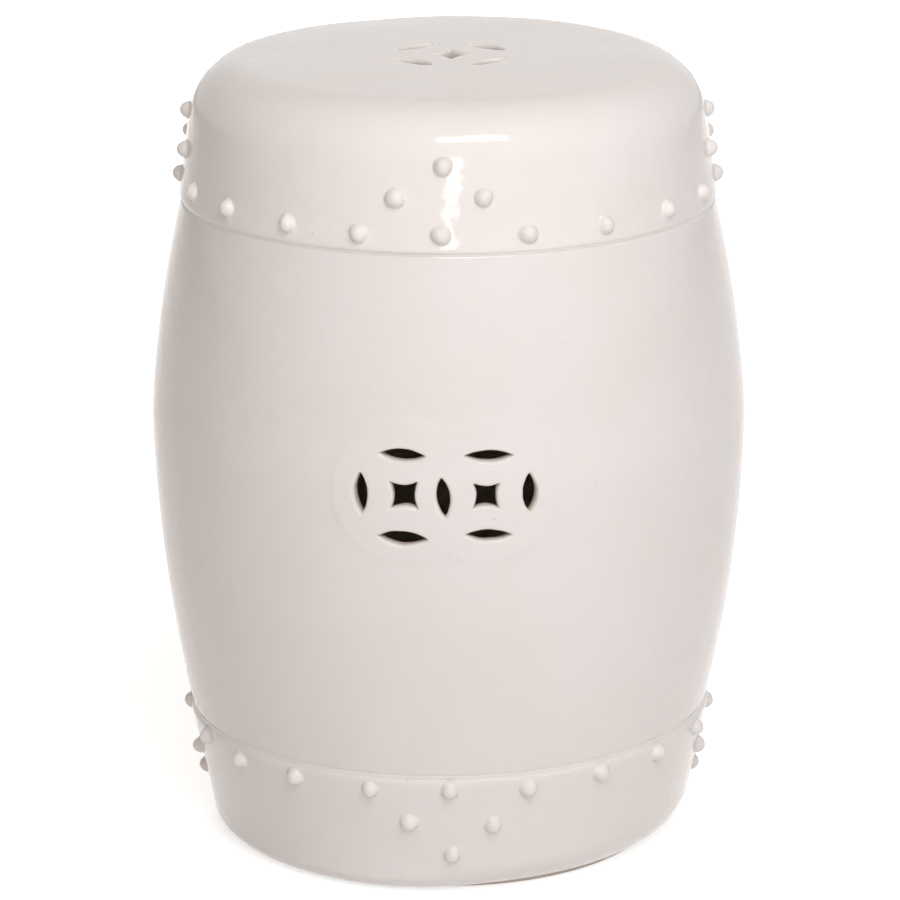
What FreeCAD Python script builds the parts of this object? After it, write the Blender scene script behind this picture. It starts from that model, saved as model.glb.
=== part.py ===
import FreeCAD, Part
import math
import os
from types import SimpleNamespace

import Sketcher

V = FreeCAD.Vector
doc = FreeCAD.newDocument("GardenStool")
drivingSheet = doc.addObject("Spreadsheet::Sheet", "Sizes")
workedSheet = doc.addObject("Spreadsheet::Sheet", "Worked")
rowsUsed = {"Sizes": 0, "Worked": 0}


class Size:
    # A number kept together with the formula that gives it from the sheets.
    def __init__(self, value, formula):
        self.value = value
        self.formula = formula

    def __add__(self, other):
        return Size(self.value + number(other), f"({self.formula} + {formula(other)})")

    def __sub__(self, other):
        return Size(self.value - number(other), f"({self.formula} - {formula(other)})")

    def __mul__(self, other):
        return Size(self.value * number(other), f"({self.formula} * {formula(other)})")

    def __truediv__(self, other):
        return Size(self.value / number(other), f"({self.formula} / {formula(other)})")

    def __neg__(self):
        return Size(-self.value, f"(0 - {self.formula})")


zero = Size(0.0, "0")
rightAngle = Size(90.0, "90")


def number(item):
    return item.value if isinstance(item, Size) else float(item)


def formula(item):
    return item.formula if isinstance(item, Size) else str(item)


def root(square):
    return Size(math.sqrt(square.value), f"sqrt({square.formula})")


def sine(angle):
    return Size(math.sin(math.radians(angle.value)), f"sin({angle.formula})")


def cosine(angle):
    return Size(math.cos(math.radians(angle.value)), f"cos({angle.formula})")


def tangent(angle):
    return Size(math.tan(math.radians(angle.value)), f"tan({angle.formula})")


def addRow(sheet, name, content):
    rowsUsed[sheet.Name] += 1
    row = rowsUsed[sheet.Name]
    sheet.set(f"A{row}", name)
    sheet.set(f"B{row}", content)
    sheet.setAlias(f"B{row}", name)
    return f"{sheet.Name}.{name}"


def driving(name, value):
    return Size(float(value), addRow(drivingSheet, name, str(value)))


def worked(name, result):
    return Size(result.value, addRow(workedSheet, name, "=" + result.formula))


# Driving dimensions, in millimetres and degrees.
drivingSizes = {
    # The barrel: two thrown halves that meet at the widest line.
    "waistRadius": 165,
    "waistHeight": 242,
    "upperBulge": 2.7,
    "lowerBulge": 4.5,
    "wall": 10,
    # The seat cap: domed top, round shoulder and the upper band.
    "stoolHeight": 441,
    "crownRadius": 2000,
    "seatThickness": 14,
    "shoulderRadius": 32,
    "capEdgeRadius": 147.5,
    "capHeight": 77.5,
    "capLean": 9,
    # How far each band stands proud of the barrel.
    "bandStep": 1.6,
    # The foot: the lower band turned in to an unglazed ring that stands on the floor.
    "collarEdgeRadius": 147,
    "collarEdgeHeight": 72.5,
    "collarLean": 11.4,
    "footCornerRadius": 17,
    "footReveal": 1.5,
    "footRingWidth": 19,
    # The clay pressed in behind each joint.
    "coilHeight": 16,
    "coilRise": 4,
    "coilBreak": 150,
    # The coin piercings of the barrel and the raised plaque round them.
    "coinRadius": 39,
    "coinSpacing": 43.6,
    "plaqueRise": 1.3,
    "petalLength": 24,
    "petalWidth": 8.2,
    "squareSide": 15.5,
    # The angle left between two curved sides of a square where they meet.
    "cuspAngle": 12,
    # The coin piercing of the seat, turned by an eighth of a turn.
    "seatPetalRing": 28,
    "seatPetalLength": 26,
    "seatPetalWidth": 8.8,
    "seatSquareSide": 17,
    # The nail heads.
    "nailRadius": 5.5,
    "nailHeight": 5,
    "nailTipRadius": 2.6,
    "nailTipAngle": 45,
    "nailRoot": 1.5,
    "upperRowInset": 9.2,
    "upperClusterPitch": 18,
    "lowerRowInset": 6.5,
    "lowerClusterPitch": 19.4,
}
# How many nail heads go round a band, and how many clusters of three.
nailCount = 20
clusterCount = 4

size = SimpleNamespace(**{name: driving(name, value) for name, value in drivingSizes.items()})


# Places worked out from the driving dimensions.
# The barrel's two outer arcs run from the waist to the joints under the two bands.
capEdgeHeight = worked("capEdgeHeight", size.stoolHeight - size.capHeight)
barrelTopRadius = worked("barrelTopRadius", size.capEdgeRadius - size.bandStep)
barrelFootRadius = worked("barrelFootRadius", size.collarEdgeRadius - size.bandStep)


def barrelArc(name, endRadius, endHeight, bulge, side):
    # The arc through the waist and one joint that stands out from its chord by the bulge.
    across = endRadius - size.waistRadius
    up = endHeight - size.waistHeight
    chord = worked(name + "Chord", root(across * across + up * up))
    radius = worked(name + "Radius", chord * chord / (bulge * 8) + bulge / 2)
    depth = radius - bulge
    middleAcross = (size.waistRadius + endRadius) / 2
    middleUp = (size.waistHeight + endHeight) / 2
    centreAcross = worked(name + "CentreAcross", middleAcross - up * side * depth / chord)
    centreUp = worked(name + "CentreUp", middleUp + across * side * depth / chord)
    return radius, centreAcross, centreUp


upperArc = barrelArc("upperArc", barrelTopRadius, capEdgeHeight, size.upperBulge, 1)
lowerArc = barrelArc("lowerArc", barrelFootRadius, size.collarEdgeHeight, size.lowerBulge, -1)


def innerArcRadius(arc, height):
    # Distance from the axis to the barrel's inner face at a height.
    radius, centreAcross, centreUp = arc
    reach = radius - size.wall
    rise = height - centreUp
    return centreAcross + root(reach * reach - rise * rise)


# The cap's skirt leans in as it rises; the shoulder arc is tangent to it and to the crown arc.
skirtSlope = worked("skirtSlope", tangent(size.capLean))
crownCentreUp = worked("crownCentreUp", size.stoolHeight - size.crownRadius)
shoulderLine = worked(
    "shoulderLine",
    size.capEdgeRadius + capEdgeHeight * skirtSlope - size.shoulderRadius / cosine(size.capLean),
)
tangentA = worked("tangentA", skirtSlope * skirtSlope + 1)
tangentB = worked("tangentB", -(shoulderLine * skirtSlope) - crownCentreUp)
tangentC = worked(
    "tangentC",
    shoulderLine * shoulderLine
    + crownCentreUp * crownCentreUp
    - (size.crownRadius - size.shoulderRadius) * (size.crownRadius - size.shoulderRadius),
)
shoulderCentreUp = worked(
    "shoulderCentreUp", (root(tangentB * tangentB - tangentA * tangentC) - tangentB) / tangentA
)
shoulderCentreAcross = worked("shoulderCentreAcross", shoulderLine - shoulderCentreUp * skirtSlope)
shoulderStartAcross = worked(
    "shoulderStartAcross", shoulderCentreAcross + size.shoulderRadius * cosine(size.capLean)
)
shoulderStartUp = worked("shoulderStartUp", shoulderCentreUp + size.shoulderRadius * sine(size.capLean))
crownReach = size.crownRadius / (size.crownRadius - size.shoulderRadius)
crownStartAcross = worked("crownStartAcross", shoulderCentreAcross * crownReach)
crownStartUp = worked("crownStartUp", crownCentreUp + (shoulderCentreUp - crownCentreUp) * crownReach)
# Inside the cap: a flat ceiling, a tangent corner and a wall parallel to the skirt.
ceilingHeight = worked("ceilingHeight", size.stoolHeight - size.seatThickness)
innerCornerRadius = worked("innerCornerRadius", size.shoulderRadius - size.wall)
innerCornerUp = worked("innerCornerUp", ceilingHeight - innerCornerRadius)
innerCornerAcross = worked("innerCornerAcross", shoulderLine - innerCornerUp * skirtSlope)
innerCornerEndAcross = worked(
    "innerCornerEndAcross", innerCornerAcross + innerCornerRadius * cosine(size.capLean)
)
innerCornerEndUp = worked("innerCornerEndUp", innerCornerUp + innerCornerRadius * sine(size.capLean))


def capInnerRadius(height):
    return size.capEdgeRadius - size.wall / cosine(size.capLean) - (height - capEdgeHeight) * skirtSlope


# The collar leans in as it falls and turns in to the foot ring by a tangent arc.
collarSlope = worked("collarSlope", tangent(size.collarLean))
footCentreUp = worked("footCentreUp", size.footReveal + size.footCornerRadius)
footCentreAcross = worked(
    "footCentreAcross",
    size.collarEdgeRadius
    - (size.collarEdgeHeight - footCentreUp) * collarSlope
    - size.footCornerRadius / cosine(size.collarLean),
)
footStartAcross = worked(
    "footStartAcross", footCentreAcross + size.footCornerRadius * cosine(size.collarLean)
)
footStartUp = worked("footStartUp", footCentreUp - size.footCornerRadius * sine(size.collarLean))
innerFootRadius = worked("innerFootRadius", size.footCornerRadius - size.wall)
innerFootAcross = worked("innerFootAcross", footCentreAcross + innerFootRadius * cosine(size.collarLean))
innerFootUp = worked("innerFootUp", footCentreUp - innerFootRadius * sine(size.collarLean))
# The ring takes up the collar's edge at the lowest point of its corner.
footRingOuterRadius = footCentreAcross
footRingInnerRadius = worked("footRingInnerRadius", footRingOuterRadius - size.footRingWidth)
footSeatUp = worked("footSeatUp", size.footReveal + size.wall)


def collarInnerRadius(height):
    fall = size.collarEdgeHeight - height
    return size.collarEdgeRadius - size.wall / cosine(size.collarLean) - fall * collarSlope


doc.recompute()


# Sketches, revolved bodies and piercings.
def planeOf(body, role):
    return next(plane for plane in body.Origin.OriginFeatures if plane.Role == role)


def newSketch(body, name, role):
    sketch = body.newObject("Sketcher::SketchObject", name)
    sketch.AttachmentSupport = [(planeOf(body, role), "")]
    sketch.MapMode = "FlatFace"
    return sketch


def pin(sketch, edge, end, corner):
    # Fixes one end of an edge at its two distances from the sketch's origin.
    for kind, place in zip(("DistanceX", "DistanceY"), corner):
        index = sketch.addConstraint(Sketcher.Constraint(kind, -1, 1, edge, end, number(place)))
        sketch.setExpression(f"Constraints[{index}]", formula(place))


def drawEdge(sketch, start, end, bend):
    # Adds a straight edge, or an arc of a radius that bulges left or right of its travel.
    # Gives the edge's index and the numbers of its start and end.
    a = V(number(start[0]), number(start[1]), 0)
    b = V(number(end[0]), number(end[1]), 0)
    if bend is None:
        return sketch.addGeometry(Part.LineSegment(a, b), False), 1, 2
    radius, side = bend
    if side == "left":
        a, b = b, a
    half = (b - a).Length / 2
    toCentre = V(a.y - b.y, b.x - a.x, 0).normalize()
    centre = (a + b) / 2 + toCentre * math.sqrt(max(radius.value ** 2 - half ** 2, 0))
    startAngle = math.atan2(a.y - centre.y, a.x - centre.x)
    endAngle = math.atan2(b.y - centre.y, b.x - centre.x)
    circle = Part.Circle(centre, V(0, 0, 1), radius.value)
    edge = sketch.addGeometry(Part.ArcOfCircle(circle, startAngle, endAngle), False)
    index = sketch.addConstraint(Sketcher.Constraint("Radius", edge, radius.value))
    sketch.setExpression(f"Constraints[{index}]", radius.formula)
    return (edge, 2, 1) if side == "left" else (edge, 1, 2)


def drawOutline(sketch, corners):
    # Each corner is (across, up, bend of the edge that leaves it); the outline closes itself.
    edges = []
    for here, following in zip(corners, corners[1:] + corners[:1]):
        edges.append(drawEdge(sketch, here, following, here[2]))
        pin(sketch, edges[-1][0], edges[-1][1], here[:2])
    for before, after in zip(edges, edges[1:] + edges[:1]):
        sketch.addConstraint(Sketcher.Constraint("Coincident", before[0], before[2], after[0], after[1]))


def revolvedBody(label, corners, role="XZ_Plane", angle=360):
    body = doc.addObject("PartDesign::Body", label)
    sketch = newSketch(body, label + "_outline", role)
    drawOutline(sketch, corners)
    turned = body.newObject("PartDesign::Revolution", label + "_turned")
    turned.Profile = sketch
    turned.ReferenceAxis = (sketch, ["V_Axis"])
    turned.Angle = angle
    turned.Midplane = angle < 360
    return body


def pierce(body, name, role, draw):
    # Cuts what the function draws on one of the body's own planes, right through both ways.
    sketch = newSketch(body, name + "_outline", role)
    draw(sketch)
    cut = body.newObject("PartDesign::Pocket", name)
    cut.Profile = sketch
    cut.Type = "ThroughAll"
    cut.SideType = "Symmetric"
    return cut


def lensRadius(length, width):
    # Radius of the two arcs that make a pointed petal.
    return (length * length + width * width) / (width * 4)


def drawPetal(sketch, across, up, length, width, lieX, lieY):
    # A pointed petal about a centre; lieX and lieY are its long direction.
    halfX = length * lieX / 2
    halfY = length * lieY / 2
    bend = (lensRadius(length, width), "left")
    drawOutline(sketch, [(across - halfX, up - halfY, bend), (across + halfX, up + halfY, bend)])


def drawHollowSquare(sketch, across, up, side, directions):
    # A square with sides that curve in; the directions point from its centre to its corners.
    reach = side / 2
    swing = (rightAngle - size.cuspAngle) / 2
    bend = (reach / sine(swing), "left")
    drawOutline(sketch, [(across + reach * x, up + reach * y, bend) for x, y in directions])


coinCentres = [size.coinSpacing * share for share in (-0.5, 0.5)]
squareCorners = [(1, 1), (-1, 1), (-1, -1), (1, -1)]
diagonal = math.sqrt(0.5)
turnedCorners = [(2 * diagonal, 0), (0, 2 * diagonal), (-2 * diagonal, 0), (0, -2 * diagonal)]


def drawSideCoins(sketch):
    # Two coins that share the middle petal, drawn as seen from the front.
    for column in (-1, 0, 1):
        across = size.coinSpacing * column
        drawPetal(sketch, across, size.waistHeight, size.petalLength, size.petalWidth, 0, 1)
    for centre in coinCentres:
        drawHollowSquare(sketch, centre, size.waistHeight, size.squareSide, squareCorners)
        for share in (-0.5, 0.5):
            up = size.waistHeight + size.coinSpacing * share
            drawPetal(sketch, centre, up, size.petalLength, size.petalWidth, 1, 0)


def drawSeatCoin(sketch):
    drawHollowSquare(sketch, zero, zero, size.seatSquareSide, turnedCorners)
    for x, y in squareCorners:
        across = size.seatPetalRing * (x * diagonal)
        up = size.seatPetalRing * (y * diagonal)
        lie = (-y * diagonal, x * diagonal)
        drawPetal(sketch, across, up, size.seatPetalLength, size.seatPetalWidth, *lie)


def makeSeatCap():
    body = revolvedBody(
        "seat_cap",
        [
            (capInnerRadius(capEdgeHeight), capEdgeHeight, None),
            (size.capEdgeRadius, capEdgeHeight, None),
            (shoulderStartAcross, shoulderStartUp, (size.shoulderRadius, "right")),
            (crownStartAcross, crownStartUp, (size.crownRadius, "right")),
            (zero, size.stoolHeight, None),
            (zero, ceilingHeight, None),
            (innerCornerAcross, ceilingHeight, (innerCornerRadius, "left")),
            (innerCornerEndAcross, innerCornerEndUp, None),
        ],
    )
    pierce(body, "seat_coin", "XY_Plane", drawSeatCoin)
    return body


def makeBarrelHalf(label, arc, endRadius, endHeight, bends):
    radius = arc[0]
    corners = [
        (innerArcRadius(arc, size.waistHeight), size.waistHeight, None),
        (size.waistRadius, size.waistHeight, (radius, bends[0])),
        (endRadius, endHeight, None),
        (innerArcRadius(arc, endHeight), endHeight, (radius - size.wall, bends[1])),
    ]
    body = revolvedBody(label, corners)
    pierce(body, label + "_coins", "XZ_Plane", drawSideCoins)
    return body


def makeFootCollar():
    return revolvedBody(
        "foot_collar",
        [
            (footRingOuterRadius, size.footReveal, (size.footCornerRadius, "right")),
            (footStartAcross, footStartUp, None),
            (size.collarEdgeRadius, size.collarEdgeHeight, None),
            (collarInnerRadius(size.collarEdgeHeight), size.collarEdgeHeight, None),
            (innerFootAcross, innerFootUp, (innerFootRadius, "left")),
            (footRingOuterRadius, footSeatUp, None),
        ],
    )


def makeFootRing():
    return revolvedBody(
        "foot_ring",
        [
            (footRingInnerRadius, zero, None),
            (footRingOuterRadius, zero, None),
            (footRingOuterRadius, footSeatUp, None),
            (footRingInnerRadius, footSeatUp, None),
        ],
    )


def drawCoilBreak(sketch):
    # The strip across the front and back where no clay is pressed in behind the coins.
    half = size.coilBreak / 2
    low = size.waistHeight - size.coilHeight
    high = size.waistHeight + size.coilHeight
    drawOutline(sketch, [(-half, low, None), (half, low, None), (half, high, None), (-half, high, None)])


def makeCoil(label, height, radiusAbove, radiusBelow):
    # Fills the inner corner of a joint with a low rounded ring of clay.
    half = size.coilHeight / 2
    top = height + half
    foot = height - half
    swell = ((half * half + size.coilRise * size.coilRise) / (size.coilRise * 2), "left")
    return revolvedBody(
        label,
        [
            (radiusBelow(foot), foot, swell),
            (radiusAbove(top), top, None),
            (radiusAbove(height), height, None),
            (radiusBelow(height), height, None),
        ],
    )


def outsideCoins(sketch):
    # A frame whose hole is the outline of two coins that overlap.
    centre = size.coinSpacing / 2
    notch = root(size.coinRadius * size.coinRadius - centre * centre)
    margin = size.coinRadius + size.coinSpacing
    low = size.waistHeight - margin
    high = size.waistHeight + margin
    side = size.waistRadius + size.coinRadius
    drawOutline(sketch, [(-side, low, None), (side, low, None), (side, high, None), (-side, high, None)])
    rim = (size.coinRadius, "right")
    drawOutline(
        sketch,
        [
            (zero, size.waistHeight - notch, rim),
            (centre, size.waistHeight - size.coinRadius, rim),
            (centre + size.coinRadius, size.waistHeight, rim),
            (centre, size.waistHeight + size.coinRadius, rim),
            (zero, size.waistHeight + notch, rim),
            (-centre, size.waistHeight + size.coinRadius, rim),
            (-centre - size.coinRadius, size.waistHeight, rim),
            (-centre, size.waistHeight - size.coinRadius, rim),
        ],
    )


def outerArcRadius(arc, height):
    radius, centreAcross, centreUp = arc
    rise = height - centreUp
    return centreAcross + root(radius * radius - rise * rise)


def makeCoinPlaque(label, turn):
    # A thin skin over the waist, cut to the outline of the coins and pierced with them.
    reach = size.coinRadius + size.plaqueRise
    top = size.waistHeight + reach
    foot = size.waistHeight - reach
    topRadius = outerArcRadius(upperArc, top)
    footRadius = outerArcRadius(lowerArc, foot)
    body = revolvedBody(
        label,
        [
            (-size.waistRadius, size.waistHeight, (upperArc[0], "left")),
            (-topRadius, top, None),
            (-topRadius - size.plaqueRise, top, (upperArc[0], "right")),
            (-size.waistRadius - size.plaqueRise, size.waistHeight, (lowerArc[0], "right")),
            (-footRadius - size.plaqueRise, foot, None),
            (-footRadius, foot, (lowerArc[0], "left")),
        ],
        role="YZ_Plane",
        angle=90,
    )
    pierce(body, label + "_rim", "XZ_Plane", outsideCoins)
    pierce(body, label + "_coins", "XZ_Plane", drawSideCoins)
    body.Placement = FreeCAD.Placement(V(0, 0, 0), V(0, 0, 1), turn)
    return body


def makeNailForm():
    # A round nail head that stands on its own origin and points up, with a root to be cut away.
    tipAcross = size.nailTipRadius * sine(size.nailTipAngle)
    tipUp = size.nailHeight - size.nailTipRadius + size.nailTipRadius * cosine(size.nailTipAngle)
    return revolvedBody(
        "nail_form",
        [
            (zero, -size.nailRoot, None),
            (size.nailRadius, -size.nailRoot, None),
            (size.nailRadius, zero, None),
            (tipAcross, tipUp, (size.nailTipRadius, "right")),
            (zero, size.nailHeight, None),
        ],
    )


seatCap = makeSeatCap()
upperBarrel = makeBarrelHalf("upper_barrel", upperArc, barrelTopRadius, capEdgeHeight, ("right", "left"))
lowerBarrel = makeBarrelHalf(
    "lower_barrel", lowerArc, barrelFootRadius, size.collarEdgeHeight, ("left", "right")
)
footCollar = makeFootCollar()
footRing = makeFootRing()
upperCoil = makeCoil(
    "upper_luting_coil", capEdgeHeight, capInnerRadius, lambda height: innerArcRadius(upperArc, height)
)
waistCoil = makeCoil(
    "waist_luting_coil",
    size.waistHeight,
    lambda height: innerArcRadius(upperArc, height),
    lambda height: innerArcRadius(lowerArc, height),
)
pierce(waistCoil, "waist_coil_break", "XZ_Plane", drawCoilBreak)
lowerCoil = makeCoil(
    "lower_luting_coil",
    size.collarEdgeHeight,
    lambda height: innerArcRadius(lowerArc, height),
    collarInnerRadius,
)
frontPlaque = makeCoinPlaque("front_coin_plaque", 0)
backPlaque = makeCoinPlaque("back_coin_plaque", 180)
nailForm = makeNailForm()
doc.recompute()


# Nail heads: one is seated on its band at the front, then turned about the stool's axis.
def seatedNail(band, height, radius, lean):
    rise = math.radians(lean)
    outward = V(0, -math.cos(rise), math.sin(rise))
    nail = nailForm.Shape.copy()
    nail.Placement = FreeCAD.Placement(
        V(0, -radius, height), FreeCAD.Rotation(V(0, 0, 1), outward)
    ).multiply(nail.Placement)
    return nail.cut(band.Shape)


def nailsAt(nail, angles):
    copies = []
    for angle in angles:
        copies.append(nail.rotated(V(0, 0, 0), V(0, 0, 1), angle))
    return copies


def addNails(label, shapes):
    node = doc.addObject("Part::Feature", label)
    node.Shape = Part.makeCompound(shapes)
    node.Placement = FreeCAD.Placement()
    return node


def nailBand(name, band, edgeRadius, slope, lean, rowHeight, edgeHeight, pitch):
    # The full row, and a triangle of three nail heads over it at each quarter turn.
    nails = []
    for step in (0, 1, 2):
        height = rowHeight + pitch * step
        radius = edgeRadius - abs(height - edgeHeight) * slope
        nails.append(seatedNail(band, height, radius, lean))
    nailTurn = 360 / nailCount
    groups = [addNails(name + "_nail_row", nailsAt(nails[0], [nailTurn * i for i in range(nailCount)]))]
    for i, side in enumerate(("front", "right", "back", "left")):
        turn = 360 / clusterCount * i
        shapes = nailsAt(nails[1], [turn - nailTurn / 2, turn + nailTurn / 2]) + nailsAt(nails[2], [turn])
        groups.append(addNails(f"{name}_nail_cluster_{side}", shapes))
    return groups


upperNails = nailBand(
    "upper",
    seatCap,
    size.capEdgeRadius.value,
    skirtSlope.value,
    size.capLean.value,
    (capEdgeHeight + size.upperRowInset).value,
    capEdgeHeight.value,
    size.upperClusterPitch.value,
)
lowerNails = nailBand(
    "lower",
    footCollar,
    size.collarEdgeRadius.value,
    collarSlope.value,
    -size.collarLean.value,
    (size.collarEdgeHeight - size.lowerRowInset).value,
    size.collarEdgeHeight.value,
    -size.lowerClusterPitch.value,
)
doc.recompute()

nodes = [seatCap, upperBarrel, lowerBarrel, footCollar, footRing]
nodes += [upperCoil, waistCoil, lowerCoil, frontPlaque, backPlaque]
nodes += upperNails + lowerNails

for item in doc.Objects:
    if "Invalid" in item.State or "Error" in item.State:
        raise RuntimeError(f"{item.Label} could not be worked out")
for item in nodes:
    if item.Shape.isNull() or not item.Shape.isValid():
        raise RuntimeError(f"{item.Label} has no good shape")

os.makedirs("parts", exist_ok=True)
for item in nodes:
    item.Shape.exportStep(f"parts/{item.Label}.step")
    print(item.Label, len(item.Shape.Solids), "solids", round(item.Shape.Volume), "mm3")
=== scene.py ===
import math

import bmesh
import bpy
import numpy as np
from mathutils import Matrix, Vector
from mathutils.geometry import delaunay_2d_cdt


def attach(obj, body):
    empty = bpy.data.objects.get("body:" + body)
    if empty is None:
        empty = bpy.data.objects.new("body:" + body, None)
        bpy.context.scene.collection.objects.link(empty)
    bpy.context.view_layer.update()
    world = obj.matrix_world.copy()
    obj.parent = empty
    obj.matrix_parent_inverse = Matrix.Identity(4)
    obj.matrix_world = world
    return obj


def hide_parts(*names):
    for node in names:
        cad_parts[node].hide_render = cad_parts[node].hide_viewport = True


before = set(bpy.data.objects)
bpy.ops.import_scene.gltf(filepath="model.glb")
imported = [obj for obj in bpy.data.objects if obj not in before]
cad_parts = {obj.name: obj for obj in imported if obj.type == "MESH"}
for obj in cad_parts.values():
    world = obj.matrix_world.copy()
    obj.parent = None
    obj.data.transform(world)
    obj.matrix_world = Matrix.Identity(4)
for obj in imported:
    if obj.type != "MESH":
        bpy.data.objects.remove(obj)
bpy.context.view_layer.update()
print("stool: frame loaded")

# Sizes are in millimetres and angles in degrees. An angle of 0 is the stool's front,
# and it grows towards the right as one looks at the front.
mm = 0.001
columns = 288  # columns of faces round the pot
columnAngles = np.arange(columns) * 360 / columns


def smoothStep(low, high, x):
    t = np.clip((np.asarray(x, float) - low) / (high - low), 0, 1)
    return t * t * (3 - 2 * t)


def aroundAxis(angle, radius, height):
    a = np.radians(angle)
    return np.stack(np.broadcast_arrays(radius * np.sin(a), -radius * np.cos(a), height), axis=-1)


def handWaver(angle, height):
    # the slow wander of a wall that was thrown on a wheel and turned by hand
    a = np.radians(angle)
    return (
        0.26 * np.sin(2 * a + 0.6 + height / 160)
        + 0.16 * np.sin(3 * a - 1.2 - height / 95)
        + 0.07 * np.sin(7 * a + height / 41)
    )


def makeFinish(name):
    finish = bpy.data.materials.new(name)
    finish.use_nodes = True
    return finish, finish.node_tree, finish.node_tree.nodes["Principled BSDF"]


def addNode(tree, kind, **values):
    node = tree.nodes.new(kind)
    for key, value in values.items():
        if key in node.inputs:
            node.inputs[key].default_value = value
        else:
            setattr(node, key, value)
    return node


def noiseOf(tree, where, scale, detail=3.0, roughness=0.5):
    noise = addNode(tree, "ShaderNodeTexNoise", Scale=scale, Detail=detail, Roughness=roughness)
    tree.links.new(where.outputs["Object"], noise.inputs["Vector"])
    return noise.outputs["Fac"]


def spread(tree, source, low, high, fromLow=0.0, fromHigh=1.0):
    step = addNode(tree, "ShaderNodeMapRange")
    for socket, value in zip(("From Min", "From Max", "To Min", "To Max"), (fromLow, fromHigh, low, high)):
        step.inputs[socket].default_value = value
    tree.links.new(source, step.inputs["Value"])
    return step.outputs["Result"]


def blendColour(tree, share, first, second):
    mix = addNode(tree, "ShaderNodeMix", data_type="RGBA")
    for socket, value in ((6, first), (7, second)):
        if isinstance(value, tuple):
            mix.inputs[socket].default_value = (*value, 1)
        else:
            tree.links.new(value, mix.inputs[socket])
    tree.links.new(share, mix.inputs[0])
    return mix.outputs[2]


def paintedOn(tree, name):
    return addNode(tree, "ShaderNodeAttribute", attribute_name=name).outputs["Fac"]


def addBump(tree, height, depth, strength=1.0, below=None):
    bump = addNode(tree, "ShaderNodeBump", Strength=strength, Distance=depth)
    tree.links.new(height, bump.inputs["Height"])
    if below:
        tree.links.new(below, bump.inputs["Normal"])
    return bump.outputs["Normal"]


whiteGlaze = {
    "body": (0.815, 0.770, 0.745),
    "warmer": (0.802, 0.745, 0.708),
    "thin": (0.800, 0.690, 0.610),  # where the glaze runs thin over an edge
    "pooled": (0.700, 0.655, 0.610),  # where it gathers in a corner, and painted shade in the corners under the bands and round the nail feet
    "speck": (0.46, 0.34, 0.25),
    "roughness": (0.07, 0.13),
    "cloudScale": 11.0,
    "glossScale": 28.0,
    "speckScale": 95.0,
    "speckChoiceScale": 47.0,
    # scale, detail and depth in metres of the ripple, the wobble and the fine peel, one on the other
    "unevenness": ((32.0, 1.5, 0.00022), (115.0, 1.0, 0.00030), (520.0, 2.0, 0.000012)),
}


def makeGlaze():
    look = whiteGlaze
    finish, tree, shader = makeFinish("whiteGlaze")
    where = addNode(tree, "ShaderNodeTexCoord")
    clouds = spread(tree, noiseOf(tree, where, look["cloudScale"], 4.0), 0, 1, 0.36, 0.66)
    colour = blendColour(tree, clouds, look["body"], look["warmer"])
    colour = blendColour(tree, paintedOn(tree, "thinGlaze"), colour, look["thin"])
    # pooled glaze and painted shade: darker in the corners where the bands and nail heads meet the wall
    colour = blendColour(tree, paintedOn(tree, "pooledGlaze"), colour, look["pooled"])
    # a few iron specks, as such a glaze has
    cells = addNode(tree, "ShaderNodeTexVoronoi", Scale=look["speckScale"], Randomness=1.0)
    tree.links.new(where.outputs["Object"], cells.inputs["Vector"])
    dots = spread(tree, cells.outputs["Distance"], 1, 0, 0.030, 0.050)
    chosen = spread(tree, noiseOf(tree, where, look["speckChoiceScale"], 0.0), 0, 0.55, 0.66, 0.70)
    both = addNode(tree, "ShaderNodeMath", operation="MULTIPLY")
    tree.links.new(dots, both.inputs[0])
    tree.links.new(chosen, both.inputs[1])
    colour = blendColour(tree, both.outputs[0], colour, look["speck"])
    tree.links.new(colour, shader.inputs["Base Color"])
    gloss = spread(tree, noiseOf(tree, where, look["glossScale"], 3.0), *look["roughness"], 0.3, 0.7)
    tree.links.new(gloss, shader.inputs["Roughness"])
    shader.inputs["IOR"].default_value = 1.5
    normal = None
    for scale, detail, depth in look["unevenness"]:
        normal = addBump(tree, noiseOf(tree, where, scale, detail), depth, below=normal)
    tree.links.new(normal, shader.inputs["Normal"])
    return finish


firedClay = {
    "light": (0.84, 0.71, 0.61),
    "dark": (0.74, 0.60, 0.50),
    "grog": (0.36, 0.26, 0.19),
    "roughness": 0.88,
    "turningLines": 0.0004,  # depths in metres
    "grit": 0.0003,
    "blotchScale": 24.0,
    "grogScale": 420.0,
    "turningScale": 55.0,
    "gritScale": 900.0,
}


def makeClay():
    look = firedClay
    finish, tree, shader = makeFinish("firedClay")
    where = addNode(tree, "ShaderNodeTexCoord")
    blotches = noiseOf(tree, where, look["blotchScale"], 6.0, 0.6)
    colour = blendColour(tree, blotches, look["light"], look["dark"])
    grains = addNode(tree, "ShaderNodeTexVoronoi", Scale=look["grogScale"])
    tree.links.new(where.outputs["Object"], grains.inputs["Vector"])
    grog = spread(tree, grains.outputs["Distance"], 0.7, 0, 0.06, 0.14)
    colour = blendColour(tree, grog, colour, look["grog"])
    tree.links.new(colour, shader.inputs["Base Color"])
    shader.inputs["Roughness"].default_value = look["roughness"]
    lines = addNode(tree, "ShaderNodeTexWave", wave_type="BANDS", bands_direction="Z", Distortion=2.5)
    lines.inputs["Scale"].default_value = look["turningScale"]
    tree.links.new(where.outputs["Object"], lines.inputs["Vector"])
    turned = addBump(tree, lines.outputs["Fac"], look["turningLines"], 0.8)
    gritty = addBump(tree, noiseOf(tree, where, look["gritScale"], 3.0), look["grit"], 0.9, turned)
    tree.links.new(gritty, shader.inputs["Normal"])
    return finish


glaze = makeGlaze()
clay = makeClay()
print("stool: glaze and clay mixed")


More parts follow.
